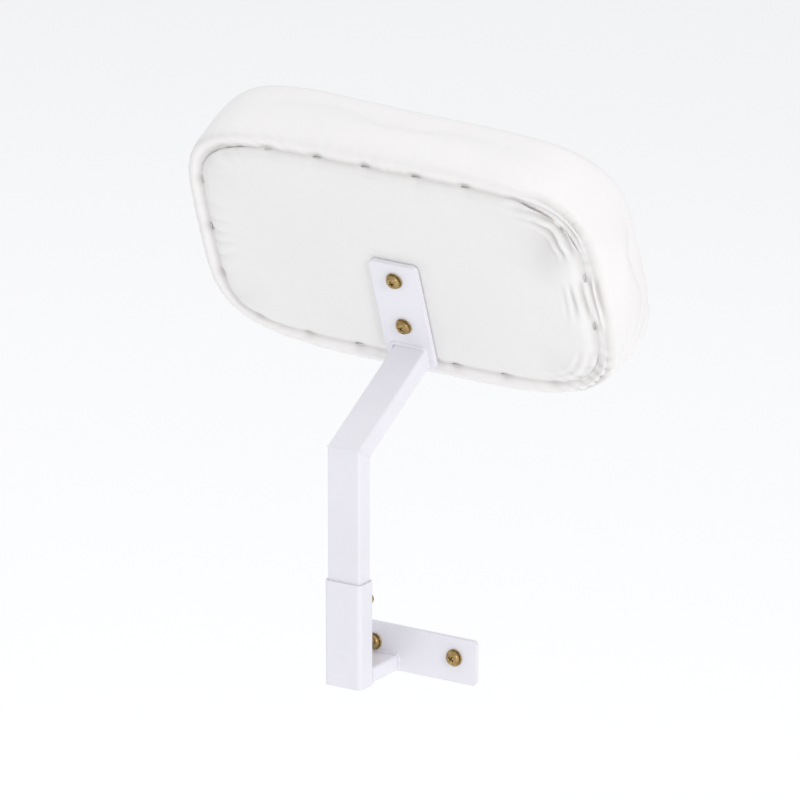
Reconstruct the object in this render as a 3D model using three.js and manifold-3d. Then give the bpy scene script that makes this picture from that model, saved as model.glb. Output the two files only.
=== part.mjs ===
// Padded side support for a treatment bed: an oval cushion on a strap, a sloped arm and a post
// that slides up and down in a sleeve, which a plate holds on the bed's side rail.
// Millimetres, +Z up. The origin is the centre of the rail plate's back face. +X runs along the
// rail, +Y points into the rail, and the cushion leans out over the post, towards -Y at its top.
import * as THREE from "three";
import { mergeVertices } from "three/addons/utils/BufferGeometryUtils.js";
import Module from "manifold-3d";

// Fits
const GAP = 0.3;
const FAR = 400;

// Rail bracket
const PLATE = { length: 106, height: 34, thick: 4 };
const RAIL_SCREW = { x: 34.7, z: 2 };
const ARM_STUB = { width: 28, height: 12 };

// Post and sleeve, both rectangular tube
const POST = { x: -27.5, y: -49, width: 28, depth: 15, wall: 1.5, corner: 2, elbowZ: 160.5 };
const SLEEVE = { wall: 1.5, height: 80 };
const BOTTOM_Z = -PLATE.height / 2;
const PLUG = { length: 14, flange: 2 };

// Clamp bolts through the sleeve's inner face
const CLAMP = { zs: { lower: 12, upper: 42 }, radius: 3, flats: 10, nut: 5, head: 4, stickOut: 7 };

// Cushion, drawn in its own frame: X along the rail, Y up its back, and Z out of its back
const LEAN = THREE.MathUtils.degToRad(21);
const DROOP = THREE.MathUtils.degToRad(1.5);
const PAD = { y: 13.5, z: 284, width: 359, height: 204, thick: 75, power: 4.2 };
const FRONT_EDGE = 20;
const BACK_EDGE = 9;
const COVER_WALL = 1.8;
const WINDOW_INSET = 16;
const BOARD_THICK = 12;

// Strap screwed to the cushion's back
const STRAP = { width: 40, thick: 4, top: 5, bottom: -86, armY: -76, corner: 4 };
const PAD_SCREW_Y = { upper: -9, lower: -50 };
const SCREW = { radius: 3, hole: 3.5, headRadius: 5.5, headHeight: 3.4 };
const WASHER = { radius: 6.5, thick: 1 };
const TEE = { flangeRadius: 10, flange: 1.5, barrelRadius: 4.2, barrel: 8 };
const SCREW_SIDES = 20;
const OUTLINE_STEPS = 44;

const wasm = await Module();
wasm.setup();

// A three.js geometry as a solid, and a solid as a three.js geometry.
function solid(geometry) {
  const bare = geometry.clone();
  bare.deleteAttribute("normal");
  bare.deleteAttribute("uv");
  const merged = mergeVertices(bare, 1e-4);
  return new wasm.Manifold(
    new wasm.Mesh({
      numProp: 3,
      vertProperties: new Float32Array(merged.attributes.position.array),
      triVerts: new Uint32Array(merged.index.array),
    }),
  );
}

function geometryOf(body) {
  const mesh = body.getMesh();
  const geometry = new THREE.BufferGeometry();
  geometry.setAttribute("position", new THREE.BufferAttribute(mesh.vertProperties, 3));
  geometry.setIndex(new THREE.BufferAttribute(mesh.triVerts, 1));
  const flat = geometry.toNonIndexed();
  flat.computeVertexNormals();
  return flat;
}

const cut = (body, ...tools) => tools.reduce((left, tool) => left.subtract(tool), body);
const join = (body, ...more) => more.reduce((whole, next) => whole.add(next), body);

// A box between two corners.
function block(low, high) {
  const size = high.map((value, i) => value - low[i]);
  const middle = high.map((value, i) => (value + low[i]) / 2);
  return solid(new THREE.BoxGeometry(...size).translate(...middle));
}

// A cylinder along Z from one height to another.
function rod(radius, from, to, x = 0, y = 0, sides = SCREW_SIDES) {
  const geometry = new THREE.CylinderGeometry(radius, radius, to - from, sides);
  return solid(geometry.rotateX(Math.PI / 2).translate(x, y, (from + to) / 2));
}

// A rectangle with round corners, centred on the origin.
function roundedShape(width, height, corner, points = 5) {
  const shape = new THREE.Shape();
  const x = width / 2 - corner;
  const y = height / 2 - corner;
  shape.absarc(x, y, corner, 0, Math.PI / 2);
  shape.absarc(-x, y, corner, Math.PI / 2, Math.PI);
  shape.absarc(-x, -y, corner, Math.PI, Math.PI * 1.5);
  shape.absarc(x, -y, corner, Math.PI * 1.5, Math.PI * 2);
  return new THREE.Shape(shape.getPoints(points));
}

const bar = (width, depth, corner, from, to) =>
  solid(
    new THREE.ExtrudeGeometry(roundedShape(width, depth, corner), {
      depth: to - from,
      bevelEnabled: false,
    }).translate(0, 0, from),
  );

// A rectangular tube along Z, centred on the origin: its outer size, wall and corner radius.
function tube(width, depth, wall, corner, from, to) {
  const inside = Math.max(corner - wall, 0.4);
  return cut(
    bar(width, depth, corner, from, to),
    bar(width - 2 * wall, depth - 2 * wall, inside, from - 1, to + 1),
  );
}

// Everything on one side of a plane that is turned about X and meets the Z axis at a height.
function halfSpace(angle, z, side) {
  const slab = new THREE.BoxGeometry(FAR, FAR, FAR).translate(0, 0, (side * FAR) / 2);
  return solid(slab.rotateX(angle).translate(0, 0, z));
}

// The cushion's outline, a superellipse, made smaller by a distance all round.
function padOutline(inset) {
  const bend = (value, reach) => Math.sign(value) * Math.abs(value) ** (2 / PAD.power) * reach;
  const points = Array.from({ length: OUTLINE_STEPS }, (_, i) => {
    const turn = ((i + 0.5) / OUTLINE_STEPS) * Math.PI * 2;
    const x = bend(Math.cos(turn), PAD.width / 2 - inset);
    const y = bend(Math.sin(turn), PAD.height / 2 - inset);
    return new THREE.Vector2(x, y);
  });
  return new THREE.Shape(points);
}

// A slab of that outline between two heights, with both its edges rounded.
function roundedSlab(inset, edge, from, to) {
  const geometry = new THREE.ExtrudeGeometry(padOutline(inset), {
    depth: to - from - 2 * edge,
    bevelThickness: edge,
    bevelSize: edge,
    bevelOffset: -edge,
    bevelSegments: 3,
  });
  return solid(geometry.translate(0, 0, from + edge));
}

// The cushion's outer shape, made smaller by a distance all round: a softly rounded front and a
// tighter back edge, as two slabs that overlap where both have their full outline.
function padSlab(inset) {
  const frontEdge = FRONT_EDGE - inset;
  const backEdge = BACK_EDGE - inset;
  const middle = -PAD.thick / 2;
  return join(
    roundedSlab(inset, frontEdge, -PAD.thick + inset, middle + 1 + frontEdge),
    roundedSlab(inset, backEdge, middle - 1 - backEdge, -inset),
  );
}

// A flat outline parallel to the cushion's back, inset from its edge, between two heights.
function padLayer(inset, from, to) {
  const geometry = new THREE.ExtrudeGeometry(padOutline(inset), {
    depth: to - from,
    bevelEnabled: false,
  });
  return solid(geometry.translate(0, 0, from));
}

// A pan-head screw on the Z axis: its head stands above z = 0 and its shank reaches down.
function panScrew(length) {
  const { radius, headRadius, headHeight } = SCREW;
  const chamfer = 0.6;
  const rim = 1.2;
  const profile = [
    [0, -length],
    [radius - chamfer, -length],
    [radius, -length + chamfer],
    [radius, 0],
    [headRadius, 0],
    [headRadius, rim],
    [headRadius - 1, headHeight - 0.7],
    [headRadius - 2.6, headHeight],
    [0, headHeight],
  ].map(([x, y]) => new THREE.Vector2(x, y));
  const body = solid(new THREE.LatheGeometry(profile, SCREW_SIDES).rotateX(Math.PI / 2));
  const slotLength = 3;
  const slotWidth = 0.6;
  const floor = headHeight - 1.9;
  const recess = join(
    block([-slotLength, -slotWidth, floor], [slotLength, slotWidth, headHeight + 1]),
    block([-slotWidth, -slotLength, floor], [slotWidth, slotLength, headHeight + 1]),
  );
  return cut(body, recess);
}

const washer = () =>
  cut(rod(WASHER.radius, 0, WASHER.thick), rod(SCREW.hole, -1, WASHER.thick + 1));

// Rail bracket: the plate, the stub that stands off it and the sleeve.
function railPlate() {
  const { length, height, thick } = PLATE;
  const hole = (side) => rod(SCREW.hole, -1, thick + 1, side * RAIL_SCREW.x, RAIL_SCREW.z);
  return cut(bar(length, height, 3, 0, thick), hole(-1), hole(1));
}

const sleeveOuter = {
  width: POST.width + 2 * (GAP + SLEEVE.wall),
  depth: POST.depth + 2 * (GAP + SLEEVE.wall),
};
const sleeveFace = sleeveOuter.depth / 2;

function postSleeve() {
  const { width, depth } = sleeveOuter;
  const top = BOTTOM_Z + SLEEVE.height;
  const corner = POST.corner + GAP + SLEEVE.wall;
  const bore = CLAMP.radius + GAP;
  const holes = Object.values(CLAMP.zs).map((z) => {
    const hole = new THREE.CylinderGeometry(bore, bore, depth / 2, SCREW_SIDES);
    return solid(hole.translate(0, depth / 2, z));
  });
  return cut(tube(width, depth, SLEEVE.wall, corner, BOTTOM_Z, top), ...holes);
}

// A clamp bolt and its welded nut, drawn along Z from the post's face outwards.
function clampNut() {
  const from = sleeveFace + GAP;
  const hexRadius = CLAMP.flats / Math.sqrt(3);
  const bore = rod(CLAMP.radius + GAP, from - 1, from + CLAMP.nut + 1);
  return cut(rod(hexRadius, from, from + CLAMP.nut, 0, 0, 6), bore);
}

function clampBolt() {
  const tip = POST.depth / 2 + GAP;
  const headFrom = sleeveFace + GAP + CLAMP.nut + CLAMP.stickOut;
  const hexRadius = CLAMP.flats / Math.sqrt(3);
  return join(
    rod(CLAMP.radius, tip, headFrom + 1),
    rod(hexRadius, headFrom, headFrom + CLAMP.head, 0, 0, 6),
  );
}

// Post, its end plug, and the sloped arm that reaches in to the strap.
const armTarget = new THREE.Vector3(0, STRAP.armY, GAP + STRAP.thick)
  .applyAxisAngle(new THREE.Vector3(1, 0, 0), Math.PI / 2 + LEAN)
  .add(new THREE.Vector3(0, PAD.y - POST.y, PAD.z - POST.elbowZ));
const armSlope = Math.atan2(armTarget.z, armTarget.y);
const armLength = armTarget.length();
const mitre = (Math.PI / 2 - armSlope) / 2;
const plugTop = BOTTOM_Z + PLUG.flange + GAP;

function postTube() {
  const long = tube(POST.width, POST.depth, POST.wall, POST.corner, plugTop, POST.elbowZ + 40);
  return cut(long, halfSpace(-mitre, POST.elbowZ - GAP / 2, 1));
}

function postPlug() {
  const inside = 2 * (POST.wall + GAP);
  const flange = bar(POST.width, POST.depth, POST.corner, BOTTOM_Z, BOTTOM_Z + PLUG.flange);
  const stem = bar(POST.width - inside, POST.depth - inside, 0.4, BOTTOM_Z + 1, BOTTOM_Z + PLUG.length);
  return join(flange, stem);
}

function armTube() {
  const long = tube(POST.width, POST.depth, POST.wall, POST.corner, -40, armLength + 20);
  return cut(
    long,
    halfSpace(mitre, GAP / 2, -1),
    halfSpace(LEAN - armSlope, armLength - GAP, 1),
  );
}

// Cushion: cover, foam, backboard, back panel and the strap with its screws.
const screwYs = Object.values(PAD_SCREW_Y);
const boardBack = -COVER_WALL - 2 * GAP;
const boardFront = boardBack - BOARD_THICK;
const teeTop = boardFront - GAP;
const screwTip = boardFront - 6;

function padStrap() {
  const { width, thick, top, bottom, corner } = STRAP;
  const flat = bar(width, top - bottom, corner, GAP, GAP + thick);
  const placed = flat.translate([0, (top + bottom) / 2, 0]);
  return cut(placed, ...screwYs.map((y) => rod(SCREW.hole, -1, thick + 2, 0, y)));
}

function padCover() {
  return cut(padSlab(0), padSlab(COVER_WALL), padLayer(WINDOW_INSET, -COVER_WALL - 1, 1));
}

function backPanel() {
  const sheet = padLayer(WINDOW_INSET + GAP, boardBack + GAP, -GAP);
  return cut(sheet, ...screwYs.map((y) => rod(SCREW.hole, -5, 1, 0, y)));
}

function backboard() {
  const layer = padLayer(-GAP, boardFront, boardBack);
  const drilled = screwYs.flatMap((y) => [
    rod(SCREW.hole, boardFront - 1, boardBack + 1, 0, y),
    rod(TEE.barrelRadius + GAP, boardFront - 1, teeTop + TEE.barrel + GAP, 0, y),
  ]);
  return cut(padSlab(COVER_WALL + GAP).intersect(layer), ...drilled);
}

function foamCore() {
  const layer = padLayer(-GAP, -PAD.thick, boardFront - GAP);
  const pockets = screwYs.flatMap((y) => [
    rod(TEE.flangeRadius + GAP, teeTop - TEE.flange - GAP, boardFront + 1, 0, y),
    rod(SCREW.hole, screwTip - GAP, boardFront + 1, 0, y),
  ]);
  return cut(padSlab(COVER_WALL + GAP).intersect(layer), ...pockets);
}

function teeNut() {
  const whole = join(
    rod(TEE.flangeRadius, teeTop - TEE.flange, teeTop),
    rod(TEE.barrelRadius, teeTop - 1, teeTop + TEE.barrel),
  );
  return cut(whole, rod(SCREW.radius + GAP, teeTop - TEE.flange - 1, teeTop + TEE.barrel + 1));
}

// Finishes
const finish = (color, roughness, metalness = 0) => () =>
  new THREE.MeshStandardMaterial({ color, roughness, metalness });
const powderCoat = finish(0xe9eaf3, 0.42);
const zinc = finish(0xa58c4c, 0.38, 0.9);
const leatherette = finish(0xf5f2ee, 0.48);
const backVinyl = finish(0xe6e4e0, 0.55);
const foam = finish(0xf0e6c8, 0.95);
const plywood = finish(0xc9a878, 0.8);
const plastic = finish(0xe4e5ec, 0.5);

const part = new THREE.Group();

function place(parent, name, body, material, set = () => {}) {
  const mesh = new THREE.Mesh(geometryOf(body), material());
  mesh.name = name;
  set(mesh);
  parent.add(mesh);
}

// The bracket's flat pieces are drawn with Z out of the rail, towards the post.
const railFrame = new THREE.Group();
railFrame.rotation.x = Math.PI / 2;
part.add(railFrame);
place(railFrame, "rail_plate", railPlate(), powderCoat);
for (const [end, side] of [["head", -1], ["foot", 1]]) {
  const washerZ = PLATE.thick + GAP;
  const seat = washerZ + WASHER.thick + GAP;
  const intoRail = 14;
  const at = (z) => (m) => m.position.set(side * RAIL_SCREW.x, RAIL_SCREW.z, z);
  place(railFrame, `rail_washer_${end}`, washer(), zinc, at(washerZ));
  place(railFrame, `rail_screw_${end}`, panScrew(seat + intoRail), zinc, at(seat));
}
const stubFrom = PLATE.thick + GAP;
const stubTo = -POST.y - sleeveFace - GAP;
place(
  railFrame,
  "rail_stub",
  tube(ARM_STUB.width, ARM_STUB.height, POST.wall, 2, stubFrom, stubTo),
  powderCoat,
  (m) => m.position.set(POST.x, BOTTOM_Z + ARM_STUB.height / 2, 0),
);

// The post's line, with its foot at the height of the rail plate's lower edge.
const postLine = new THREE.Group();
postLine.position.set(POST.x, POST.y, 0);
part.add(postLine);
place(postLine, "post_sleeve", postSleeve(), powderCoat);
for (const [level, z] of Object.entries(CLAMP.zs)) {
  const towardsBed = (m) => {
    m.rotation.x = -Math.PI / 2;
    m.position.z = z;
  };
  place(postLine, `clamp_nut_${level}`, clampNut(), zinc, towardsBed);
  place(postLine, `clamp_bolt_${level}`, clampBolt(), zinc, towardsBed);
}
place(postLine, "post_tube", postTube(), powderCoat);
place(postLine, "post_plug", postPlug(), plastic);
place(postLine, "arm_tube", armTube(), powderCoat, (m) => {
  m.position.z = POST.elbowZ;
  m.rotation.x = armSlope - Math.PI / 2;
});

// The cushion's frame leans out over the post and hangs a little low at the foot end.
const padLine = new THREE.Group();
padLine.position.set(POST.x, PAD.y, PAD.z);
padLine.rotation.set(Math.PI / 2 + LEAN, 0, -DROOP);
part.add(padLine);
place(padLine, "pad_strap", padStrap(), powderCoat);
for (const [level, y] of Object.entries(PAD_SCREW_Y)) {
  const washerZ = STRAP.thick + 2 * GAP;
  const seat = washerZ + WASHER.thick + GAP;
  const at = (z) => (m) => m.position.set(0, y, z);
  place(padLine, `pad_washer_${level}`, washer(), zinc, at(washerZ));
  place(padLine, `pad_screw_${level}`, panScrew(seat - screwTip), zinc, at(seat));
  place(padLine, `tee_nut_${level}`, teeNut(), zinc, at(0));
}
place(padLine, "back_panel", backPanel(), backVinyl);
place(padLine, "backboard", backboard(), plywood);
place(padLine, "foam_core", foamCore(), foam);
place(padLine, "pad_cover", padCover(), leatherette);

export default part;
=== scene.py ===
"""Looks of the padded side support: its cushion, powder-coated bracket, screws and welds."""
import math

import bmesh
import bpy
import numpy as np
from mathutils import Matrix, Vector, noise


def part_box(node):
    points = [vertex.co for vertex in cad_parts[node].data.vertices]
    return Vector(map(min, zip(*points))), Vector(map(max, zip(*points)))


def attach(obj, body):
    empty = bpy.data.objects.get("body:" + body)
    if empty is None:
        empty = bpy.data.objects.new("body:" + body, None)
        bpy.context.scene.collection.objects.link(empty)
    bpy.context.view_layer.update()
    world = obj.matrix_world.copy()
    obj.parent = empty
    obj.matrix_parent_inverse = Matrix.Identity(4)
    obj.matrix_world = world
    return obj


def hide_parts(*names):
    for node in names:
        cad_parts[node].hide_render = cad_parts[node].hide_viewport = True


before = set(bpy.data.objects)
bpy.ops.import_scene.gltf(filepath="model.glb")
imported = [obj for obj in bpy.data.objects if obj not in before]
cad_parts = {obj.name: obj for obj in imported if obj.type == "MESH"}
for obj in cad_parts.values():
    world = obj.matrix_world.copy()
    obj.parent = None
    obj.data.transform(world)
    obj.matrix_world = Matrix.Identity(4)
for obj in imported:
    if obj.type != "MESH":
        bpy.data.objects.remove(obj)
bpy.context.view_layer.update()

MM = 0.001

# Cushion, in its own frame: x along the rail, y up its back, z out of its back. The foot end is +x.
LEAN = math.radians(21)
DROOP = math.radians(1.5)
PAD_WIDTH = 359 * MM
PAD_HEIGHT = 204 * MM
PAD_THICK = 75 * MM
OUTLINE_POWER = 4.4
FRONT_EDGE = 14 * MM
BACK_EDGE = 5 * MM
FRONT_CROWN = 4 * MM
TUCK_INSET = 18 * MM
TUCK_DEPTH = 4.3 * MM
BOARD_BACK = -5.4 * MM
BULGE = 5 * MM
PANEL_DEPTH = 1.2 * MM
STAPLE_PITCH = 42 * MM
STAPLE_CROWN = 6.5 * MM
STAPLE_WIRE = 0.8 * MM
HEAD_FILL = 5 * MM
STRAP_REACH = 21 * MM

# Cloth simulation of the cover, which starts smaller than the cushion and swells.
START_INSET = 3.2 * MM
VOXEL = 3.6 * MM
SWELL_LIMIT = 5 * MM
SINK_LIMIT = 0.8 * MM
CLOTH_FRAMES = 20
CLOTH_PRESSURE = 4

# Foam and board inside the cover.
FOAM_INSET = 9 * MM
FOAM_EDGE = 26 * MM
FOAM_BACK = -14.8 * MM
BOARD_INSET = 11 * MM
BOARD_EDGE = 1 * MM
BOARD_FRONT = -14.4 * MM

# Post and arm, as the CAD frame has them.
ELBOW_Z = 160.5 * MM
ARM_JOIN_Y = -76 * MM
TUBE_WIDTH = 28 * MM
TUBE_DEPTH = 15 * MM
TUBE_CORNER = 2 * MM
STRAP_FACE = 4.3 * MM

# Fasteners: gaps as the CAD frame leaves them.
FIT_GAP = 0.3 * MM
SCREW_RADIUS = 3 * MM
THREAD_PITCH = 1 * MM
THREAD_DEPTH = 0.42 * MM
WASHER_TOP = 1.6 * MM
RAIL_SCREW = (34.7 * MM, 2 * MM)
RAIL_SCREW_LENGTH = 19.6 * MM
PAD_SCREW_YS = {"upper": -9 * MM, "lower": -50 * MM}
PAD_SCREW_LENGTH = 25.9 * MM
CLAMP_ZS = {"lower": 12 * MM, "upper": 42 * MM}
CLAMP_FLATS = 10 * MM
CLAMP_NUT = 5 * MM
CLAMP_HEAD = 4 * MM
CLAMP_STICK_OUT = 7 * MM

# Studio floor, in metres, well under the part.
FLOOR_Z = -0.47
FLOOR_REACH = 60

panel_low, panel_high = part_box("back_panel")
post_low, post_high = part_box("post_tube")
stub_low, stub_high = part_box("rail_stub")
PLATE_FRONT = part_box("rail_plate")[0].y
SLEEVE_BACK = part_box("post_sleeve")[1].y
HALF_X = PAD_WIDTH / 2
HALF_Y = PAD_HEIGHT / 2
POST_X = (post_low.x + post_high.x) / 2
POST_Y = (post_low.y + post_high.y) / 2

pad_turn = Matrix.Rotation(math.pi / 2 + LEAN, 4, "X") @ Matrix.Rotation(-DROOP, 4, "Z")
pad_centre = (panel_low + panel_high) / 2 + pad_turn @ Vector((0, 0, PANEL_DEPTH))
PAD = Matrix.Translation(pad_centre) @ pad_turn
elbow = Vector((POST_X, POST_Y, ELBOW_Z))
arm_end = PAD @ Vector((0, ARM_JOIN_Y, STRAP_FACE))
arm_slope = math.atan2(arm_end.z - elbow.z, arm_end.y - elbow.y)


# ---------------------------------------------------------------- camera, floor and light
def make_stage():
    """One wide flat floor that fills the view from every side."""
    turns = np.arange(48) * math.pi / 24
    rim = [(FLOOR_REACH * math.cos(turn), FLOOR_REACH * math.sin(turn), FLOOR_Z) for turn in turns]
    floor = mesh_object("studio_floor", rim, [tuple(range(48))])
    floor.data.materials.append(floor_paint())


def area_light(name, location, target, size, power, colour=(1, 1, 1)):
    data = bpy.data.lights.new(name, "AREA")
    data.shape = "RECTANGLE"
    data.size, data.size_y = size
    data.energy = power
    data.color = colour
    lamp = link(bpy.data.objects.new(name, data))
    lamp.location = location
    lamp.rotation_mode = "QUATERNION"
    lamp.rotation_quaternion = (Vector(target) - Vector(location)).to_track_quat("-Z", "Y")


def make_lights():
    target = (0, 0, 0.2)
    area_light("key", (3.4, -1.9, 1.6), target, (1.2, 1.2), 40, (1, 0.99, 0.98))
    area_light("front", (-0.8, -3.6, 1.2), target, (1.8, 1.8), 5)
    area_light("fill", (-3.0, 0.6, 2.2), target, (2.4, 2.4), 10, (0.97, 0.98, 1))
    area_light("top", (0.2, 0.4, 3.2), target, (2.4, 2.4), 18)
    world = bpy.data.worlds.new("studio")
    world.use_nodes = True
    background = world.node_tree.nodes["Background"]
    background.inputs["Color"].default_value = (0.97, 0.98, 1, 1)
    background.inputs["Strength"].default_value = 0.71
    bpy.context.scene.world = world
    bpy.context.scene.view_settings.view_transform = "Standard"


def make_camera():
    """The viewpoint beyond the bed's foot end, and a long lens that takes in this part alone."""
    data = bpy.data.cameras.new("camera")
    data.sensor_width = 36
    data.lens = 440
    data.clip_end = 100
    camera = link(bpy.data.objects.new("camera", data))
    camera.location = (3.630, -5.696, 2.310)
    target = Vector((-0.020, 0.008, 0.186))
    camera.rotation_mode = "QUATERNION"
    camera.rotation_quaternion = (target - camera.location).to_track_quat("-Z", "Y")
    bpy.context.scene.camera = camera


# ---------------------------------------------------------------- mesh helpers
def link(obj):
    bpy.context.scene.collection.objects.link(obj)
    return obj


def smooth(obj, angle=None):
    obj.data.polygons.foreach_set("use_smooth", [True] * len(obj.data.polygons))
    if angle:
        obj.data.set_sharp_from_angle(angle=math.radians(angle))
    return obj


def mesh_object(name, verts, faces, matrix=None):
    mesh = bpy.data.meshes.new(name)
    mesh.from_pydata([tuple(v) for v in verts], [], faces)
    if matrix:
        mesh.transform(matrix)
    mesh.validate()
    return smooth(link(bpy.data.objects.new(name, mesh)))


def loft(rings, first=None, last=None):
    """Vertices and faces of a skin over rings of points, closed by a middle point at each end."""
    count = len(rings[0])
    verts = [p for ring in rings for p in ring]
    faces = []
    for row in range(len(rings) - 1):
        for i in range(count):
            j = (i + 1) % count
            a, b = row * count, (row + 1) * count
            faces.append((a + i, a + j, b + j, b + i))
    for point, row, turn in ((first, 0, -1), (last, len(rings) - 1, 1)):
        if point is None:
            continue
        verts.append(point)
        for i in range(count):
            edge = (row * count + i, row * count + (i + 1) % count)
            faces.append((*edge[::turn], len(verts) - 1))
    return verts, faces


def recalculate(obj):
    bm = bmesh.new()
    bm.from_mesh(obj.data)
    bmesh.ops.recalc_face_normals(bm, faces=bm.faces)
    bm.to_mesh(obj.data)
    bm.free()
    return obj


def applied(obj):
    """Bakes an object's modifiers into its mesh."""
    graph = bpy.context.evaluated_depsgraph_get()
    baked = bpy.data.meshes.new_from_object(obj.evaluated_get(graph))
    obj.modifiers.clear()
    old = obj.data
    obj.data = baked
    bpy.data.meshes.remove(old)
    return obj


def points_of(obj):
    flat = np.zeros(len(obj.data.vertices) * 3)
    obj.data.vertices.foreach_get("co", flat)
    return flat.reshape(-1, 3)


def set_points(obj, points):
    obj.data.vertices.foreach_set("co", np.asarray(points, np.float32).ravel())
    obj.data.update()


def normals_of(obj):
    flat = np.zeros(len(obj.data.vertices) * 3)
    obj.data.vertices.foreach_get("normal", flat)
    return flat.reshape(-1, 3)


def bump(value, centre, width):
    """A smooth hill of height 1 at the centre."""
    return np.exp(-(((value - centre) / width) ** 2))


def step(value, low, high):
    t = np.clip((value - low) / (high - low), 0, 1)
    return t * t * (3 - 2 * t)


def noise_at(points, scale, seed=0.0, stretch=(1, 1, 1)):
    shift = Vector((seed, seed * 1.7, seed * 2.3))
    return np.array([noise.noise(Vector(p * np.array(stretch)) * scale + shift) for p in points])


def dress(obj, body, material, replaces=()):
    obj.data.materials.clear()
    obj.data.materials.append(material)
    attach(obj, body)
    if replaces:
        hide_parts(*replaces)
    return obj


# ---------------------------------------------------------------- materials
def new_material(name):
    material = bpy.data.materials.new(name)
    material.use_nodes = True
    nodes = material.node_tree.nodes
    return material, nodes, material.node_tree.links, nodes["Principled BSDF"]


def texture(nodes, kind, scale, coordinates, links, **inputs):
    node = nodes.new(kind)
    node.inputs["Scale"].default_value = scale
    for key, value in inputs.items():
        node.inputs[key.replace("_", " ")].default_value = value
    links.new(coordinates.outputs["Object"], node.inputs["Vector"])
    return node


def ramp(nodes, links, source, stops):
    node = nodes.new("ShaderNodeValToRGB")
    while len(node.color_ramp.elements) < len(stops):
        node.color_ramp.elements.new(0.5)
    for element, (place, colour) in zip(node.color_ramp.elements, stops):
        element.position = place
        element.color = (*colour, 1)
    links.new(source, node.inputs["Fac"])
    return node.outputs["Color"]


def spread(nodes, links, source, low, high):
    """Maps 0 to 1 onto a range."""
    node = nodes.new("ShaderNodeMapRange")
    node.inputs["To Min"].default_value = low
    node.inputs["To Max"].default_value = high
    links.new(source, node.inputs["Value"])
    return node.outputs["Result"]


def bumps(nodes, links, shader, layers):
    """Stacks bump layers, each (height output, depth in metres, strength)."""
    last = None
    for height, depth, strength in layers:
        node = nodes.new("ShaderNodeBump")
        node.inputs["Distance"].default_value = depth
        node.inputs["Strength"].default_value = strength
        links.new(height, node.inputs["Height"])
        if last:
            links.new(last, node.inputs["Normal"])
        last = node.outputs["Normal"]
    links.new(last, shader.inputs["Normal"])


def hide(name, light, dark, roughness, grain, depth):
    """Coated fabric: pebbled grain, soft colour drift, a slight sheen, and painted shade down in its
    folds.
    """
    material, nodes, links, shader = new_material(name)
    where = nodes.new("ShaderNodeTexCoord")
    drift = texture(nodes, "ShaderNodeTexNoise", 9, where, links, Detail=3)
    pebble = texture(nodes, "ShaderNodeTexVoronoi", grain, where, links)
    pebble.feature = "SMOOTH_F1"
    pores = texture(nodes, "ShaderNodeTexNoise", grain * 2.6, where, links, Detail=4)
    creases = texture(nodes, "ShaderNodeTexNoise", grain / 5, where, links, Detail=5, Distortion=1.2)
    colour = ramp(nodes, links, drift.outputs["Fac"], [(0.3, dark), (0.7, light)])
    # Painted shade: the colour darkens by a value stored on each vertex, strongest in folds, along the
    # tuck and at staples.
    valley = nodes.new("ShaderNodeAttribute")
    valley.attribute_name = "valley"
    painted_fold_shade = ramp(nodes, links, valley.outputs["Fac"], [(0, (1, 1, 1)), (1, (0.66, 0.645, 0.63))])
    fold_shaded_colour = nodes.new("ShaderNodeVectorMath")
    fold_shaded_colour.operation = "MULTIPLY"
    links.new(colour, fold_shaded_colour.inputs[0])
    links.new(painted_fold_shade, fold_shaded_colour.inputs[1])
    links.new(fold_shaded_colour.outputs["Vector"], shader.inputs["Base Color"])
    links.new(
        spread(nodes, links, creases.outputs["Fac"], roughness - 0.06, roughness + 0.08),
        shader.inputs["Roughness"],
    )
    shader.inputs["Sheen Weight"].default_value = 0.12
    shader.inputs["Coat Weight"].default_value = 0.08
    shader.inputs["Coat Roughness"].default_value = 0.35
    shader.inputs["Subsurface Weight"].default_value = 0.04
    shader.inputs["Subsurface Radius"].default_value = (0.004, 0.003, 0.002)
    bumps(nodes, links, shader, [
        (pebble.outputs["Distance"], depth, 0.5),
        (pores.outputs["Fac"], depth * 0.5, 0.3),
        (creases.outputs["Fac"], depth * 2.5, 0.22),
    ])
    return material


def powder_coat():
    material, nodes, links, shader = new_material("powder_coat_white")
    where = nodes.new("ShaderNodeTexCoord")
    drift = texture(nodes, "ShaderNodeTexNoise", 14, where, links, Detail=4)
    peel = texture(nodes, "ShaderNodeTexNoise", 620, where, links, Detail=2)
    speck = texture(nodes, "ShaderNodeTexNoise", 2400, where, links, Detail=2)
    tones = [(0.3, (0.805, 0.795, 0.85)), (0.7, (0.845, 0.835, 0.89))]
    colour = ramp(nodes, links, drift.outputs["Fac"], tones)
    links.new(colour, shader.inputs["Base Color"])
    links.new(spread(nodes, links, drift.outputs["Fac"], 0.30, 0.42), shader.inputs["Roughness"])
    shader.inputs["Coat Weight"].default_value = 0.15
    shader.inputs["Coat Roughness"].default_value = 0.2
    bumps(nodes, links, shader, [
        (peel.outputs["Fac"], 0.00018, 0.30),
        (speck.outputs["Fac"], 0.00005, 0.25),
    ])
    return material


def plated(name, tones, roughness):
    """Plated steel with the patchy tint of passivated zinc and fine turning marks."""
    material, nodes, links, shader = new_material(name)
    where = nodes.new("ShaderNodeTexCoord")
    patch = texture(nodes, "ShaderNodeTexNoise", 420, where, links, Detail=5, Distortion=0.8)
    marks = texture(nodes, "ShaderNodeTexNoise", 3200, where, links, Detail=3)
    stops = [(0.25 + 0.5 * i / (len(tones) - 1), tone) for i, tone in enumerate(tones)]
    links.new(ramp(nodes, links, patch.outputs["Fac"], stops), shader.inputs["Base Color"])
    links.new(
        spread(nodes, links, marks.outputs["Fac"], roughness - 0.08, roughness + 0.14),
        shader.inputs["Roughness"],
    )
    shader.inputs["Metallic"].default_value = 1
    bumps(nodes, links, shader, [(marks.outputs["Fac"], 0.00006, 0.3)])
    return material


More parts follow.
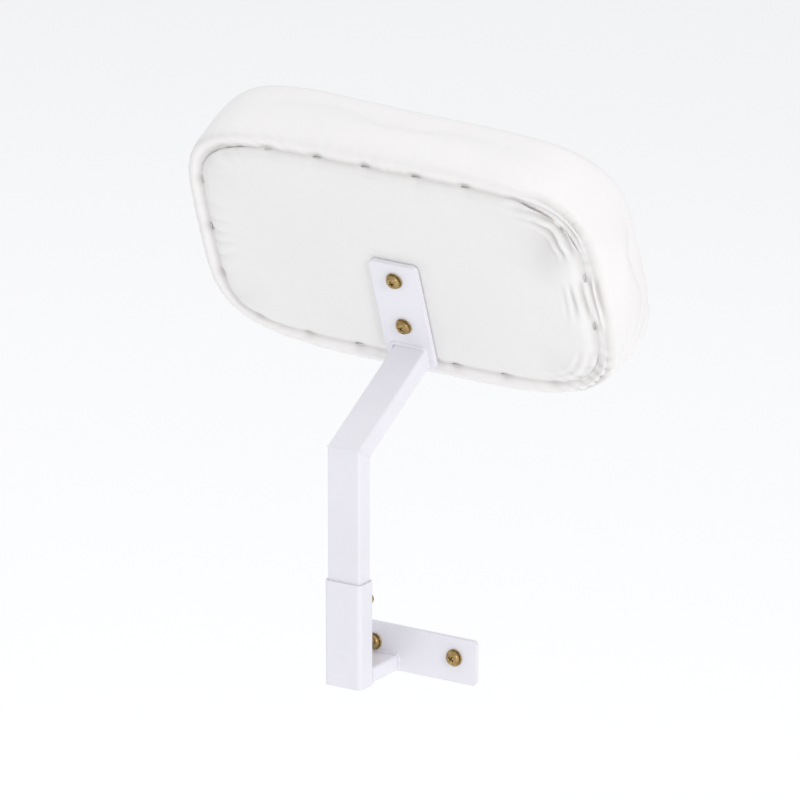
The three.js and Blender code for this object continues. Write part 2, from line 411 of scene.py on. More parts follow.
def moulded_plastic():
    material, nodes, links, shader = new_material("moulded_plastic_white")
    where = nodes.new("ShaderNodeTexCoord")
    spark = texture(nodes, "ShaderNodeTexNoise", 1500, where, links, Detail=3)
    cloud = texture(nodes, "ShaderNodeTexNoise", 60, where, links, Detail=2)
    tones = [(0.3, (0.76, 0.77, 0.80)), (0.7, (0.80, 0.81, 0.84))]
    colour = ramp(nodes, links, cloud.outputs["Fac"], tones)
    links.new(colour, shader.inputs["Base Color"])
    links.new(spread(nodes, links, spark.outputs["Fac"], 0.45, 0.62), shader.inputs["Roughness"])
    bumps(nodes, links, shader, [(spark.outputs["Fac"], 0.00008, 0.35)])
    return material


def open_foam():
    material, nodes, links, shader = new_material("open_cell_foam")
    where = nodes.new("ShaderNodeTexCoord")
    cells = texture(nodes, "ShaderNodeTexVoronoi", 900, where, links)
    cloud = texture(nodes, "ShaderNodeTexNoise", 40, where, links, Detail=3)
    tones = [(0.3, (0.78, 0.70, 0.48)), (0.7, (0.86, 0.80, 0.60))]
    colour = ramp(nodes, links, cloud.outputs["Fac"], tones)
    links.new(colour, shader.inputs["Base Color"])
    shader.inputs["Roughness"].default_value = 0.95
    bumps(nodes, links, shader, [(cells.outputs["Distance"], 0.0006, 0.7)])
    return material


def plywood():
    """Plies show as bands through the board's thickness, under a streaked face veneer."""
    material, nodes, links, shader = new_material("birch_plywood")
    where = nodes.new("ShaderNodeTexCoord")
    bands = texture(nodes, "ShaderNodeTexWave", 110, where, links, Distortion=0.6, Detail=2)
    bands.bands_direction = "Y"
    grain = texture(nodes, "ShaderNodeTexNoise", 160, where, links, Detail=6, Distortion=2.0)
    mix = nodes.new("ShaderNodeMix")
    mix.inputs["Factor"].default_value = 0.45
    links.new(bands.outputs["Fac"], mix.inputs["A"])
    links.new(grain.outputs["Fac"], mix.inputs["B"])
    tones = [(0.25, (0.42, 0.27, 0.14)), (0.75, (0.72, 0.54, 0.34))]
    colour = ramp(nodes, links, mix.outputs["Result"], tones)
    links.new(colour, shader.inputs["Base Color"])
    shader.inputs["Roughness"].default_value = 0.8
    bumps(nodes, links, shader, [(grain.outputs["Fac"], 0.0003, 0.3)])
    return material


def floor_paint():
    material, nodes, links, shader = new_material("studio_paper")
    where = nodes.new("ShaderNodeTexCoord")
    fibre = texture(nodes, "ShaderNodeTexNoise", 300, where, links, Detail=3)
    tones = [(0.3, (0.90, 0.90, 0.90)), (0.7, (0.92, 0.92, 0.92))]
    colour = ramp(nodes, links, fibre.outputs["Fac"], tones)
    links.new(colour, shader.inputs["Base Color"])
    shader.inputs["Roughness"].default_value = 0.85
    shader.inputs["Emission Color"].default_value = (1, 1, 1, 1)
    shader.inputs["Emission Strength"].default_value = 0.18
    return material


COAT = powder_coat()
ZINC = plated("yellow_zinc", [(0.22, 0.15, 0.07), (0.42, 0.29, 0.12), (0.54, 0.42, 0.21)], 0.34)
STEEL = plated("staple_wire", [(0.60, 0.59, 0.58), (0.78, 0.77, 0.76)], 0.34)
COVER_HIDE = hide(
    "leatherette_white", light=(0.905, 0.884, 0.878), dark=(0.882, 0.862, 0.856),
    roughness=0.42, grain=620, depth=0.00022,
)
# The backing vinyl is darker than the cover: partly the vinyl's own colour, partly painted shade for the
# back, which faces down and away from the lamps.
BACK_HIDE = hide(
    "backing_vinyl_white", light=(0.862, 0.850, 0.842), dark=(0.842, 0.830, 0.822),
    roughness=0.52, grain=900, depth=0.00016,
)
PLASTIC = moulded_plastic()
FOAM = open_foam()
PLY = plywood()


# ---------------------------------------------------------------- cushion
def outline(inset, z, count=144):
    """A ring of points round the cushion's superellipse, inset from its edge."""
    ring = []
    for turn in np.arange(count) * 2 * math.pi / count:
        c, s = math.cos(turn), math.sin(turn)
        reach = (abs(c) ** OUTLINE_POWER + abs(s) ** OUTLINE_POWER) ** (-1 / OUTLINE_POWER)
        ring.append(((HALF_X - inset) * c * reach, (HALF_Y - inset) * s * reach, z))
    return ring


def edge_distance(points):
    """How far inside the outline each point is, and how far round it, both in metres."""
    x, y = points[:, 0] / HALF_X, points[:, 1] / HALF_Y
    power = OUTLINE_POWER
    level = (np.abs(x) ** power + np.abs(y) ** power) ** (1 / power)
    nx = np.abs(x) ** (power - 1) / HALF_X
    ny = np.abs(y) ** (power - 1) / HALF_Y
    slope = np.hypot(nx, ny) / np.maximum(level, 1e-6) ** (power - 1)
    ring = np.array(outline(0, 0, 720))[:, :2]
    lengths = np.linalg.norm(np.roll(ring, -1, 0) - ring, axis=1)
    turns = np.arange(721) * 2 * math.pi / 720
    travelled = np.concatenate([[0], np.cumsum(lengths)])
    turn = np.arctan2(y, x) % (2 * math.pi)
    return (1 - level) / np.maximum(slope, 1e-3), np.interp(turn, turns, travelled)


def slab_rings(inset, crown, front_edge, back_edge):
    """Rings of a padded slab from the middle of its front to the middle of its back."""
    front = -PAD_THICK + inset
    rings = []
    for share in (0.12, 0.3, 0.5, 0.7, 0.86, 0.96):
        ring = outline(inset + front_edge, 0)
        z = front - crown * (1 - share ** 2.2)
        rings.append([(x * share, y * share, z) for x, y, _ in ring])
    for angle in np.radians((0, 15, 30, 45, 60, 75, 90)):
        rings.append(outline(
            inset + front_edge * (1 - math.sin(angle)), front + front_edge * (1 - math.cos(angle)),
        ))
    side_from, side_to = front + front_edge, -back_edge
    for share in (0.25, 0.5, 0.75):
        swollen = inset - 1.2 * MM * math.sin(share * math.pi)
        rings.append(outline(swollen, side_from + (side_to - side_from) * share))
    for angle in np.radians((0, 22, 45, 68, 90)):
        rings.append(outline(
            inset + back_edge * (1 - math.cos(angle)), -back_edge + back_edge * math.sin(angle),
        ))
    for share in (0.9, 0.7, 0.45, 0.2):
        rings.append([(x * share, y * share, 0) for x, y, _ in outline(inset + back_edge, 0)])
    return rings, (0, 0, front - crown), (0, 0, 0)


def simulate_cover(cover):
    """Blows the cover up by cloth pressure, held at its back, and caps how far a point may move."""
    scene = bpy.context.scene
    start = points_of(cover)
    held = step(start[:, 2], -BACK_EDGE, -0.35 * BACK_EDGE)
    group = cover.vertex_groups.new(name="stapled")
    for index, weight in enumerate(held):
        if weight > 0:
            group.add([index], float(weight), "REPLACE")
    cloth = cover.modifiers.new("Cloth", "CLOTH")
    cloth.settings.quality = 5
    cloth.settings.mass = 0.3
    cloth.settings.tension_stiffness = 18
    cloth.settings.compression_stiffness = 18
    cloth.settings.shear_stiffness = 8
    cloth.settings.bending_stiffness = 1.0
    cloth.settings.use_pressure = True
    cloth.settings.uniform_pressure_force = CLOTH_PRESSURE
    cloth.settings.vertex_group_mass = "stapled"
    cloth.settings.effector_weights.gravity = 0
    cloth.point_cache.frame_start = 1
    cloth.point_cache.frame_end = CLOTH_FRAMES
    for number in range(1, CLOTH_FRAMES + 1):
        scene.frame_set(number)
    graph = bpy.context.evaluated_depsgraph_get()
    blown = points_of(cover.evaluated_get(graph))
    cover.modifiers.clear()
    cover.vertex_groups.clear()
    scene.frame_set(1)
    move = blown - start
    length = np.linalg.norm(move, axis=1, keepdims=True)
    move *= np.minimum(1, SWELL_LIMIT / np.maximum(length, 1e-9))
    outwards = normals_of(cover)
    inward = -(move * outwards).sum(1) - SINK_LIMIT
    set_points(cover, start + move + outwards * np.maximum(inward, 0)[:, None])


def staple_places():
    """Points along the tuck, a staple's pitch apart, with the direction of the tuck there."""
    ring = np.array(outline(TUCK_INSET, 0, 720))[:, :2]
    steps = np.linalg.norm(np.roll(ring, -1, 0) - ring, axis=1)
    along = np.concatenate([[0], np.cumsum(steps)])
    count = round(along[-1] / STAPLE_PITCH)
    places = []
    for number in range(count):
        index = int(np.searchsorted(along, (number + 0.5) / count * along[-1])) % 720
        tangent = ring[(index + 1) % 720] - ring[index - 1]
        places.append((ring[index], math.atan2(tangent[1], tangent[0])))
    return places


STAPLES = staple_places()


def staple_pull(points, width):
    """1 at a staple, falling away round it."""
    pull = np.zeros(len(points))
    for place, _ in STAPLES:
        gap = np.hypot(points[:, 0] - place[0], points[:, 1] - place[1])
        pull = np.maximum(pull, np.exp(-((gap / width) ** 2)))
    return pull


def fit_to_size(cover):
    """The blown cover takes the cushion's width, height and thickness, fuller at the head end's top."""
    points = points_of(cover)
    points[:, 0] *= HALF_X / np.abs(points[:, 0]).max()
    points[:, 1] *= HALF_Y / np.abs(points[:, 1]).max()
    ahead = np.minimum(points[:, 2], 0)
    points[:, 2] += ahead * ((PAD_THICK + BULGE) / -points[:, 2].min() - 1)
    top = step(points[:, 1], 0.25 * HALF_Y, 0.8 * HALF_Y) * bump(points[:, 0], -0.72 * HALF_X, 80 * MM)
    points[:, 1] += HEAD_FILL * top * (0.3 + 0.7 * step(-points[:, 2], 8 * MM, 55 * MM))
    set_points(cover, points)


def mark_painted_shade(obj, depth):
    """Keeps on each vertex the strength of its painted shade, from 0 to 1, for the material to darken its
    colour.
    """
    values = obj.data.attributes.new("valley", "FLOAT", "POINT")
    values.data.foreach_set("value", np.clip(depth, 0, 1).astype(np.float32))


def creases(along, spacing, points, seed, sway=3.0):
    """Narrow valleys a spacing apart round the edge, wandering, with soft bulges between them."""
    phase = along / spacing + noise_at(points, 24, seed) * sway / math.pi
    return np.abs(np.sin(math.pi * phase)) ** 0.6 - 0.75


def end_shares(points):
    """1 at both ends, at the foot end alone, and at the foot end's lower corner."""
    end = step(np.abs(points[:, 0]), 0.60 * HALF_X, 0.92 * HALF_X)
    foot = end * (points[:, 0] > 0)
    corner = foot * step(-points[:, 1], 0.15 * HALF_Y, 0.75 * HALF_Y)
    return end, foot, corner


def edge_folds(points, inside):
    """Folds along the foot end's edge, where the hem is bunched."""
    rows = np.sin(inside * 2 * math.pi / (8 * MM) + noise_at(points, 20, 12.5) * 5.5)
    return rows * step(noise_at(points, 28, 4.4), -0.2, 0.3)


def shape_cover(cover):
    """Adds what the staples and the stretched skin do: the tuck, puckers, end wrinkles and creases."""
    points, normals = points_of(cover), normals_of(cover)
    inside, along = edge_distance(points)
    back = step(points[:, 2], -13 * MM, -3.5 * MM)
    end, foot, corner = end_shares(points)
    hem = step(inside, 3 * MM, 9 * MM) * (1 - step(inside, TUCK_INSET, TUCK_INSET + 3 * MM))
    out = np.zeros(len(points))
    gentle = step(inside, 3.5 * MM, TUCK_INSET + 1 * MM)
    steep = 0.7 * step(inside, 2.5 * MM, 8 * MM) + 0.3 * step(inside, 8 * MM, TUCK_INSET + 1 * MM)
    out -= back * TUCK_DEPTH * (gentle + (steep * 1.35 - gentle) * foot)
    out -= back * 1.2 * MM * step(inside, TUCK_INSET, TUCK_INSET + 3 * MM)
    out -= back * 1.6 * MM * staple_pull(points, 5.5 * MM)
    fine, coarse = creases(along, 11.5 * MM, points, 8.2), creases(along, 23 * MM, points, 2.9, 2.0)
    patchy = np.maximum(step(noise_at(points, 15, 3.3), -0.3, 0.35), 0.8 * corner)
    fine_height = 0.5 + 1.1 * end - 0.7 * foot + 1.6 * corner
    folds = back * hem * patchy * (fine * fine_height + coarse * (0.4 + 0.8 * end)) * MM
    folds += back * hem * (foot - 0.75 * corner) * edge_folds(points, inside) * 1.3 * MM
    out += folds
    # Painted shade: darker colour deep in the folds, along the tuck and at the staples, where shade
    # falls.
    depth = -folds / (1.5 * MM) * (0.3 + 0.7 * foot)
    depth += back * bump(inside, 7 * MM, 3 * MM) * (0.05 + 0.2 * end + 0.3 * foot)
    depth += back * bump(inside, TUCK_INSET - 0.5 * MM, 2.4 * MM) * 0.5
    depth += back * staple_pull(points, 5 * MM) * 0.6
    rim = bump(points[:, 2], -6 * MM, 8 * MM) * (1 - back * hem)
    out += rim * (fine * (0.12 + 0.4 * end) + coarse * 0.35) * MM
    front_bend = bump(points[:, 2], -PAD_THICK + 0.7 * FRONT_EDGE, 10 * MM)
    ripple = np.sin((points[:, 2] + 2.5 * MM * noise_at(points, 18, 2.2)) * 2 * math.pi / (6.4 * MM))
    ripple *= bump(points[:, 1], 6 * MM, 44 * MM)
    ripple *= step(noise_at(points, 34, 9.4, (1, 0.4, 1)), -0.25, 0.35)
    out += front_bend * foot * ripple * 0.36 * MM
    out += front_bend * end * creases(along, 14 * MM, points, 3.3) * 0.45 * MM
    slant = points[:, 1] * 0.75 + points[:, 2] * 0.9 + points[:, 0] * 0.12
    crease = np.sin(slant * 2 * math.pi / (15 * MM) + noise_at(points, 22, 6.6) * 2.5)
    side = step(points[:, 2], -PAD_THICK, -PAD_THICK + 16 * MM)
    side *= 1 - step(points[:, 2], -22 * MM, -8 * MM)
    out += side * corner * crease * 0.8 * MM
    out += 1.0 * MM * noise_at(points, 10, 4.0) * (1 - back)
    out += 0.4 * MM * noise_at(points, 30, 7.0) * (1 - back)
    shaped = points + normals * out[:, None]
    on_board = (back > 0.5) & (inside > 7 * MM)
    shaped[on_board, 2] = np.maximum(shaped[on_board, 2], BOARD_BACK + 0.3 * MM)
    set_points(cover, shaped)
    mark_painted_shade(cover, depth)


def make_cover():
    rings, first, last = slab_rings(START_INSET, FRONT_CROWN, FRONT_EDGE, BACK_EDGE)
    verts, faces = loft(rings, first, last)
    cover = recalculate(mesh_object("cushion_cover", verts, faces))
    remesh = cover.modifiers.new("Remesh", "REMESH")
    remesh.mode = "VOXEL"
    remesh.voxel_size = VOXEL
    remesh.use_smooth_shade = True
    applied(cover)
    simulate_cover(cover)
    cover.modifiers.new("Subdivision", "SUBSURF").levels = 1
    applied(cover)
    fit_to_size(cover)
    shape_cover(cover)
    cover.data.transform(PAD)
    smooth(cover)
    dress(cover, "support", COVER_HIDE, ["pad_cover"])


# Soft valleys of the back panel: where each starts and ends, and its depth; the material also gets a
# painted shadow along each.
BUCKLES = (
    ((150 * MM, 74 * MM), (112 * MM, 12 * MM), 2.4 * MM),
    ((152 * MM, 44 * MM), (118 * MM, 30 * MM), 1.0 * MM),
    ((150 * MM, -68 * MM), (104 * MM, -62 * MM), 1.1 * MM),
    ((-152 * MM, 60 * MM), (-126 * MM, 34 * MM), 0.8 * MM),
    ((-148 * MM, -58 * MM), (-118 * MM, -44 * MM), 0.7 * MM),
)


def buckle(points, start, finish, width):
    """A soft valley along a line, deepest at its start and gone at its finish."""
    start, run = np.array(start), np.array(finish) - np.array(start)
    offset = points[:, :2] - start
    share = np.clip(offset @ run / (run @ run), 0, 1)
    gap = np.linalg.norm(offset - share[:, None] * run, axis=1)
    return (1 - share) * np.exp(-((gap / (width * (0.6 + share))) ** 2))


def make_back_sheet():
    """The vinyl panel inside the hem: its edge turns down into the tuck and the staples pull it."""
    edge = TUCK_INSET - 1.2 * MM
    shares = [*np.linspace(0.03, 0.80, 30), *np.linspace(0.82, 1.0, 22)]
    base = outline(edge, 0, 480)
    rings = [[(x * share, y * share, 0) for x, y, _ in base] for share in shares]
    rings += [[(x, y, -1.0 * MM) for x, y, _ in ring] for ring in rings[::-1]]
    verts, faces = loft(rings, (0, 0, 0), (0, 0, -1.0 * MM))
    points = np.array(verts)
    inside, along = edge_distance(points)
    reach = inside - edge
    end, foot, corner = end_shares(points * np.array((1.12, 1.0, 1.0)))
    strap = (1 - step(np.abs(points[:, 0]), STRAP_REACH, STRAP_REACH + 9 * MM))
    strap *= 1 - step(points[:, 1], 7 * MM, 16 * MM)
    loose = (1 - strap) * step(reach, 0, 9 * MM)
    lift = -0.5 * MM - TUCK_DEPTH * 0.85 * (1 - step(reach, -1 * MM, 10 * MM))
    lift += 1.1 * MM * (1 - strap) * step(reach, 3 * MM, 18 * MM)
    near = 1 - step(reach, 6 * MM, 30 * MM)
    puckers = creases(along, 14 * MM, points, 2.7) * (0.4 + 1.2 * end - 0.9 * foot + 0.9 * corner)
    puckers *= np.maximum(step(noise_at(points, 15, 6.1), -0.35, 0.3), 0.8 * corner)
    rows = (foot - 0.75 * corner) * edge_folds(points, inside)
    lift += near * step(reach, 0, 4 * MM) * (1 - strap) * puckers * MM
    lift += (1 - step(reach, 12 * MM, 26 * MM)) * rows * 1.2 * MM
    lift -= 1.1 * MM * (1 - step(reach, 0, 2.4 * MM))
    slant = points[:, 1] + 0.45 * points[:, 0]
    folds = np.sin(slant * 2 * math.pi / (34 * MM) + noise_at(points, 16, 5.9) * 3)
    lift += foot * loose * folds * 0.6 * MM * (1 - step(reach, 26 * MM, 60 * MM))
    for start, finish, depth in BUCKLES:
        lift -= depth * (1 - strap) * step(reach, -1 * MM, 6 * MM) * buckle(points, start, finish, 7 * MM)
    lift += loose * 0.5 * MM * noise_at(points, 15, 8.8)
    lift -= 1.2 * MM * staple_pull(points, 6 * MM)
    # Painted shade: darker colour at the sheet's edge by the tuck, in its folds and puckers, and a broad
    # painted shadow along each buckle.
    depth = 0.45 * (1 - step(reach, 0.5 * MM, 6 * MM)) - 0.7 * rows * (1 - step(reach, 8 * MM, 24 * MM))
    depth -= (0.15 + 0.3 * corner) * near * (1 - strap) * puckers
    for start, finish, drop in BUCKLES:
        depth += drop / (5 * MM) * (1 - strap) * buckle(points, start, finish, 14 * MM)
    points[:, 2] += np.minimum(lift, 1.6 * MM)
    sheet = recalculate(mesh_object("cushion_back", points, faces, PAD))
    mark_painted_shade(sheet, depth)
    dress(sheet, "support", BACK_HIDE, ["back_panel"])


def make_insides():
    """The foam block and the board behind it."""
    rings, first, _ = slab_rings(FOAM_INSET, 0, FOAM_EDGE, 0.5 * MM)
    kept = [[(x, y, min(z, FOAM_BACK)) for x, y, z in ring] for ring in rings]
    verts, faces = loft(kept, first, (0, 0, FOAM_BACK))
    foam = recalculate(mesh_object("cushion_foam", verts, faces, PAD))
    dress(foam, "support", FOAM, ["foam_core"])
    rings = [
        outline(BOARD_INSET + BOARD_EDGE, BOARD_FRONT),
        outline(BOARD_INSET, BOARD_FRONT + BOARD_EDGE),
        outline(BOARD_INSET, BOARD_BACK - BOARD_EDGE),
        outline(BOARD_INSET + BOARD_EDGE, BOARD_BACK),
    ]
    verts, faces = loft(rings, (0, 0, BOARD_FRONT), (0, 0, BOARD_BACK))
    board = recalculate(mesh_object("cushion_board", verts, faces, PAD))
    dress(smooth(board, 30), "support", PLY, ["backboard"])


def make_staples():
    """Wire staples with rounded crowns, lying in the tuck."""
    bm = bmesh.new()
    for (x, y), turn in STAPLES:
        made = bmesh.ops.create_cube(bm, size=1)["verts"]
        spot = Matrix.Translation((x, y, BOARD_BACK + 0.9 * MM)) @ Matrix.Rotation(turn, 4, "Z")
        size = Matrix.Diagonal((STAPLE_CROWN, STAPLE_WIRE, 1.1 * MM, 1))
        bmesh.ops.transform(bm, matrix=spot @ size, verts=made)
    bmesh.ops.bevel(bm, geom=bm.edges[:], offset=0.3 * MM, segments=2, affect="EDGES")
    mesh = bpy.data.meshes.new("lip_staples")
    bm.to_mesh(mesh)
    bm.free()
    mesh.transform(PAD)
    dress(smooth(link(bpy.data.objects.new("lip_staples", mesh))), "support", STEEL)


# ---------------------------------------------------------------- fasteners
def threaded_rows(start, end, sides=28):
    """Rings of a threaded shank along z, with a chamfered tip at its start."""
    rows = max(int((end - start) / THREAD_PITCH * 6), 6)
    rings = []
    for z in np.linspace(start, end, rows):
        ring = []
        for i in range(sides):
            turn = 2 * math.pi * i / sides
            phase = (z / THREAD_PITCH - i / sides) % 1.0
            groove = THREAD_DEPTH * (1 - abs(2 * phase - 1))
            tip = max(0.0, 0.8 * MM - (z - start)) * 0.9
            r = SCREW_RADIUS - groove - tip
            ring.append((r * math.cos(turn), r * math.sin(turn), z))
        rings.append(ring)
    return rings


def circle(radius, z, sides=28):
    return [
        (radius * math.cos(2 * math.pi * i / sides), radius * math.sin(2 * math.pi * i / sides), z)
        for i in range(sides)
    ]


def cut_with(obj, cutter, operation="DIFFERENCE"):
    modifier = obj.modifiers.new("Boolean", "BOOLEAN")
    modifier.operation = operation
    modifier.solver = "EXACT"
    modifier.object = cutter
    applied(obj)
    bpy.data.objects.remove(cutter)
    return obj


def recess_blade(top, turn):
    """One tapered blade of a cross-shaped driver recess."""
    verts = []
    c, s = math.cos(turn), math.sin(turn)
    for z, long, wide in ((top - 2.1 * MM, 1.1 * MM, 0.35 * MM), (top + 0.4 * MM, 2.9 * MM, 0.62 * MM)):
        for x, y in ((-long, -wide), (long, -wide), (long, wide), (-long, wide)):
            verts.append((x * c - y * s, x * s + y * c, z))
    faces = ((3, 2, 1, 0), (4, 5, 6, 7), (0, 1, 5, 4), (1, 2, 6, 5), (2, 3, 7, 6), (3, 0, 4, 7))
    return recalculate(mesh_object("recess_blade", verts, faces))


def pan_screw(name, node, seat, body, length):
    """A pan-head machine screw with a threaded shank; seat puts its head's underside at z = 0."""
    head = [(5.5, 0), (5.5, 1.1), (5.35, 1.6), (4.9, 2.3), (4.1, 2.95), (3.0, 3.3), (1.5, 3.42)]
    rings = threaded_rows(-length, -1.2 * MM)
    rings += [circle(SCREW_RADIUS, -0.9 * MM), circle(SCREW_RADIUS, 0)]
    rings += [circle(r * MM, z * MM) for r, z in head]
    verts, faces = loft(rings, (0, 0, -length), (0, 0, 3.45 * MM))
    screw = recalculate(mesh_object(name, verts, faces))
    for turn in (0, math.pi / 2):
        cut_with(screw, recess_blade(3.4 * MM, turn))
    screw.data.transform(seat)
    smooth(screw, 35)
    return dress(screw, body, ZINC, [node])


def washer(name, node, seat, body):
    """A flat washer turned from its section, given as radii and heights in millimetres."""
    section = ((3.4, 0), (6.3, 0), (6.5, 0.2), (6.5, 0.8), (6.3, 1.0), (3.6, 1.0), (3.4, 0.8))
    count, rows = 48, len(section)
    verts = [p for r, z in section for p in circle(r * MM, z * MM, count)]
    faces = []
    for row in range(rows):
        a, b = row * count, (row + 1) % rows * count
        for i in range(count):
            j = (i + 1) % count
            faces.append((a + i, a + j, b + j, b + i))
    ring = recalculate(mesh_object(name, verts, faces))
    ring.data.transform(seat)
    return dress(smooth(ring, 35), body, ZINC, [node])


def hexagon(flats, low, high):
    """A hexagon bar whose corners are chamfered at both ends by a turned shape."""
    radius = flats / math.sqrt(3)
    verts = circle(radius, low, 6) + circle(radius, high, 6)
    faces = [tuple(range(5, -1, -1)), tuple(range(6, 12))]
    faces += [(i, (i + 1) % 6, 6 + (i + 1) % 6, 6 + i) for i in range(6)]
    bar = mesh_object("hexagon", verts, faces)
    wide, slim, drop = radius * 1.02, flats / 2 * 0.97, 0.8 * MM
    profile = ((slim, low), (wide, low + drop), (wide, high - drop), (slim, high))
    rings = [circle(r, z, 48) for r, z in profile]
    turned = recalculate(mesh_object("turned", *loft(rings, (0, 0, low), (0, 0, high))))
    return cut_with(bar, turned, "INTERSECT")


def clamp_parts():
    """Hex bolts in welded nuts on the sleeve's inner face, drawn along z away from the post."""
    face = SLEEVE_BACK - POST_Y + FIT_GAP
    tip = TUBE_DEPTH / 2 + FIT_GAP
    nut_top = face + CLAMP_NUT
    head = nut_top + CLAMP_STICK_OUT
    for level, z in CLAMP_ZS.items():
        seat = Matrix.Translation((POST_X, POST_Y, z)) @ Matrix.Rotation(-math.pi / 2, 4, "X")
        nut = hexagon(CLAMP_FLATS, face, nut_top)
        low, high = face - MM, nut_top + MM
        rings = [circle(SCREW_RADIUS + FIT_GAP, z) for z in (low, high)]
        bore = recalculate(mesh_object("bore", *loft(rings, (0, 0, low), (0, 0, high))))
        cut_with(nut, bore)
        nut.name = f"clamp_nut_fine_{level}"
        nut.data.transform(seat)
        dress(smooth(nut, 30), "bracket", ZINC, [f"clamp_nut_{level}"])
        shank_top = head + 0.5 * MM
        rings = threaded_rows(tip, shank_top)
        shank = recalculate(mesh_object("shank", *loft(rings, (0, 0, tip), (0, 0, shank_top))))
        bolt = hexagon(CLAMP_FLATS, head, head + CLAMP_HEAD)
        bolt.name = f"clamp_bolt_fine_{level}"
        cut_with(bolt, shank, "UNION")
        bolt.data.transform(seat)
        dress(smooth(bolt, 30), "bracket", ZINC, [f"clamp_bolt_{level}"])


def screw_and_washer(group, level, place, turn, body, length):
    """A washer and its screw, whose names in the CAD and here follow one pattern."""
    washer_seat = place @ Matrix.Translation((0, 0, FIT_GAP))
    washer(f"{group}_washer_fine_{level}", f"{group}_washer_{level}", washer_seat, body)
    seat = place @ Matrix.Translation((0, 0, WASHER_TOP)) @ Matrix.Rotation(math.radians(turn), 4, "Z")
    pan_screw(f"{group}_screw_fine_{level}", f"{group}_screw_{level}", seat, body, length)


def make_fasteners():
    for end, side in (("head", -1), ("foot", 1)):
        place = Matrix.Translation((side * RAIL_SCREW[0], PLATE_FRONT, RAIL_SCREW[1]))
        place = place @ Matrix.Rotation(math.pi / 2, 4, "X")
        screw_and_washer("rail", end, place, 20 + 37 * side, "bracket", RAIL_SCREW_LENGTH)
    for number, (level, y) in enumerate(PAD_SCREW_YS.items()):
        place = PAD @ Matrix.Translation((0, y, STRAP_FACE))
        screw_and_washer("pad", level, place, 18 + 47 * number, "support", PAD_SCREW_LENGTH)


# ---------------------------------------------------------------- welds
def rounded_path(width, height, corner, step_length=1.1 * MM):
    """Points round a rectangle with round corners, evenly spaced."""
    corners = []
    for cx, cy, start in ((1, 1, 0), (-1, 1, 90), (-1, -1, 180), (1, -1, 270)):
        for angle in np.radians(np.linspace(start, start + 90, 7)):
            corners.append((
                cx * (width / 2 - corner) + corner * math.cos(angle),
                cy * (height / 2 - corner) + corner * math.sin(angle),
            ))
    ring = np.array(corners + corners[:1])
    lengths = np.linalg.norm(np.diff(ring, axis=0), axis=1)
    along = np.concatenate([[0], np.cumsum(lengths)])
    count = int(along[-1] / step_length)
    spots = np.arange(count) / count * along[-1]
    return np.stack([np.interp(spots, along, ring[:, 0]), np.interp(spots, along, ring[:, 1])], 1)


def weld_bead(name, path, matrix, body, radius, ripple=0.25):
    """A rippled bead along a closed flat path."""
    count, sides = len(path), 10
    verts, faces = [], []
    spots = np.column_stack([path, np.zeros(count)])
    for i in range(count):
        ahead = spots[(i + 1) % count] - spots[i - 1]
        ahead = ahead / np.linalg.norm(ahead)
        out = np.cross(ahead, (0, 0, 1.0))
        out = out / np.linalg.norm(out)
        up = np.cross(out, ahead)
        unevenness = 0.12 * noise.noise(Vector(spots[i]) * 400)
        r = radius * (1 - ripple * abs(math.sin(i * math.pi / 3)) + unevenness)
        for k in range(sides):
            turn = 2 * math.pi * k / sides
            verts.append(spots[i] + r * (math.cos(turn) * out + math.sin(turn) * up))
    for i in range(count):
        j = (i + 1) % count
        for k in range(sides):
            m = (k + 1) % sides
            faces.append((i * sides + k, j * sides + k, j * sides + m, i * sides + m))
    bead = recalculate(mesh_object(name, verts, faces, matrix))
    return dress(bead, body, COAT)


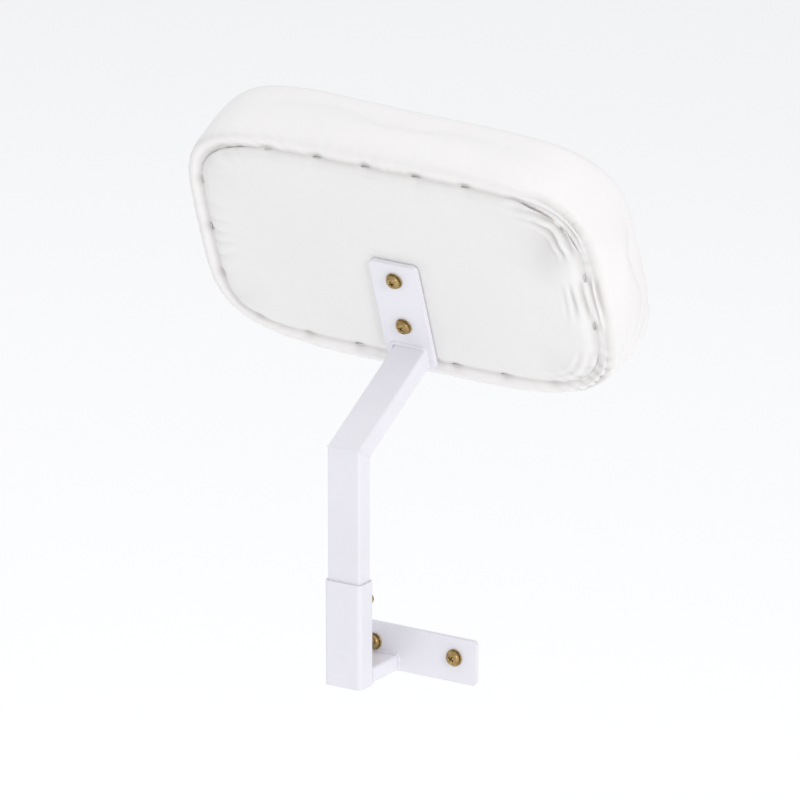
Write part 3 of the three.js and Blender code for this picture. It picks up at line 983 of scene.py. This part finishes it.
def make_welds():
    tube = (TUBE_WIDTH, TUBE_DEPTH)
    tilt = abs(arm_slope - LEAN)
    strap_seat = PAD @ Matrix.Translation((0, ARM_JOIN_Y, STRAP_FACE + 0.2 * MM))
    arm_foot = rounded_path(tube[0] + 1 * MM, tube[1] / math.cos(tilt) + 1 * MM, 2.5 * MM)
    weld_bead("weld_arm_strap", arm_foot, strap_seat, "support", 1.7 * MM)
    mitre = (math.pi / 2 - arm_slope) / 2
    elbow_seat = Matrix.Translation(elbow) @ Matrix.Rotation(-mitre, 4, "X")
    joint = rounded_path(tube[0], tube[1] / math.cos(mitre), TUBE_CORNER)
    weld_bead("weld_elbow", joint, elbow_seat, "support", 0.7 * MM, 0.12)
    stub_middle = (stub_low + stub_high) / 2
    turn = Matrix.Rotation(math.pi / 2, 4, "X")
    stub_width = stub_high.x - stub_low.x
    stub_height = stub_high.z - stub_low.z
    stub_path = rounded_path(stub_width + 1 * MM, stub_height + 1 * MM, 2.5 * MM)
    stub_path[stub_path[:, 1] < 0, 1] += 0.9 * MM
    for name, y in (("plate", PLATE_FRONT - 0.2 * MM), ("sleeve", SLEEVE_BACK + 0.2 * MM)):
        spot = Matrix.Translation((stub_middle.x, y, stub_middle.z)) @ turn
        weld_bead(f"weld_stub_{name}", stub_path, spot, "bracket", 1.2 * MM)
    for level, z in CLAMP_ZS.items():
        spot = Matrix.Translation((POST_X, SLEEVE_BACK + 0.2 * MM, z)) @ turn
        ring = np.array(circle(5.6 * MM, 0, 36))[:, :2]
        weld_bead(f"weld_nut_{level}", ring, spot, "bracket", 0.9 * MM)


# ---------------------------------------------------------------- CAD nodes that stay
def finish_node(node, material, width=0.5 * MM):
    """Gives a CAD node its material, and softens its edges with modifiers."""
    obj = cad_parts[node]
    obj.data.materials.clear()
    obj.data.materials.append(material)
    obj.data.polygons.foreach_set("use_smooth", [True] * len(obj.data.polygons))
    weld = obj.modifiers.new("Weld", "WELD")
    weld.merge_threshold = 0.00001
    bevel = obj.modifiers.new("Bevel", "BEVEL")
    bevel.width = width
    bevel.segments = 2
    bevel.limit_method = "ANGLE"
    bevel.angle_limit = math.radians(40)
    obj.modifiers.new("WeightedNormal", "WEIGHTED_NORMAL").weight = 80


def finish_cad():
    for node in ("rail_plate", "rail_stub", "post_sleeve", "post_tube", "arm_tube", "pad_strap"):
        finish_node(node, COAT)
    finish_node("post_plug", PLASTIC, 0.3 * MM)
    for level in PAD_SCREW_YS:
        finish_node(f"tee_nut_{level}", ZINC, 0.15 * MM)


make_camera()
make_stage()
make_lights()
make_cover()
make_back_sheet()
make_insides()
make_staples()
make_fasteners()
clamp_parts()
make_welds()
finish_cad()
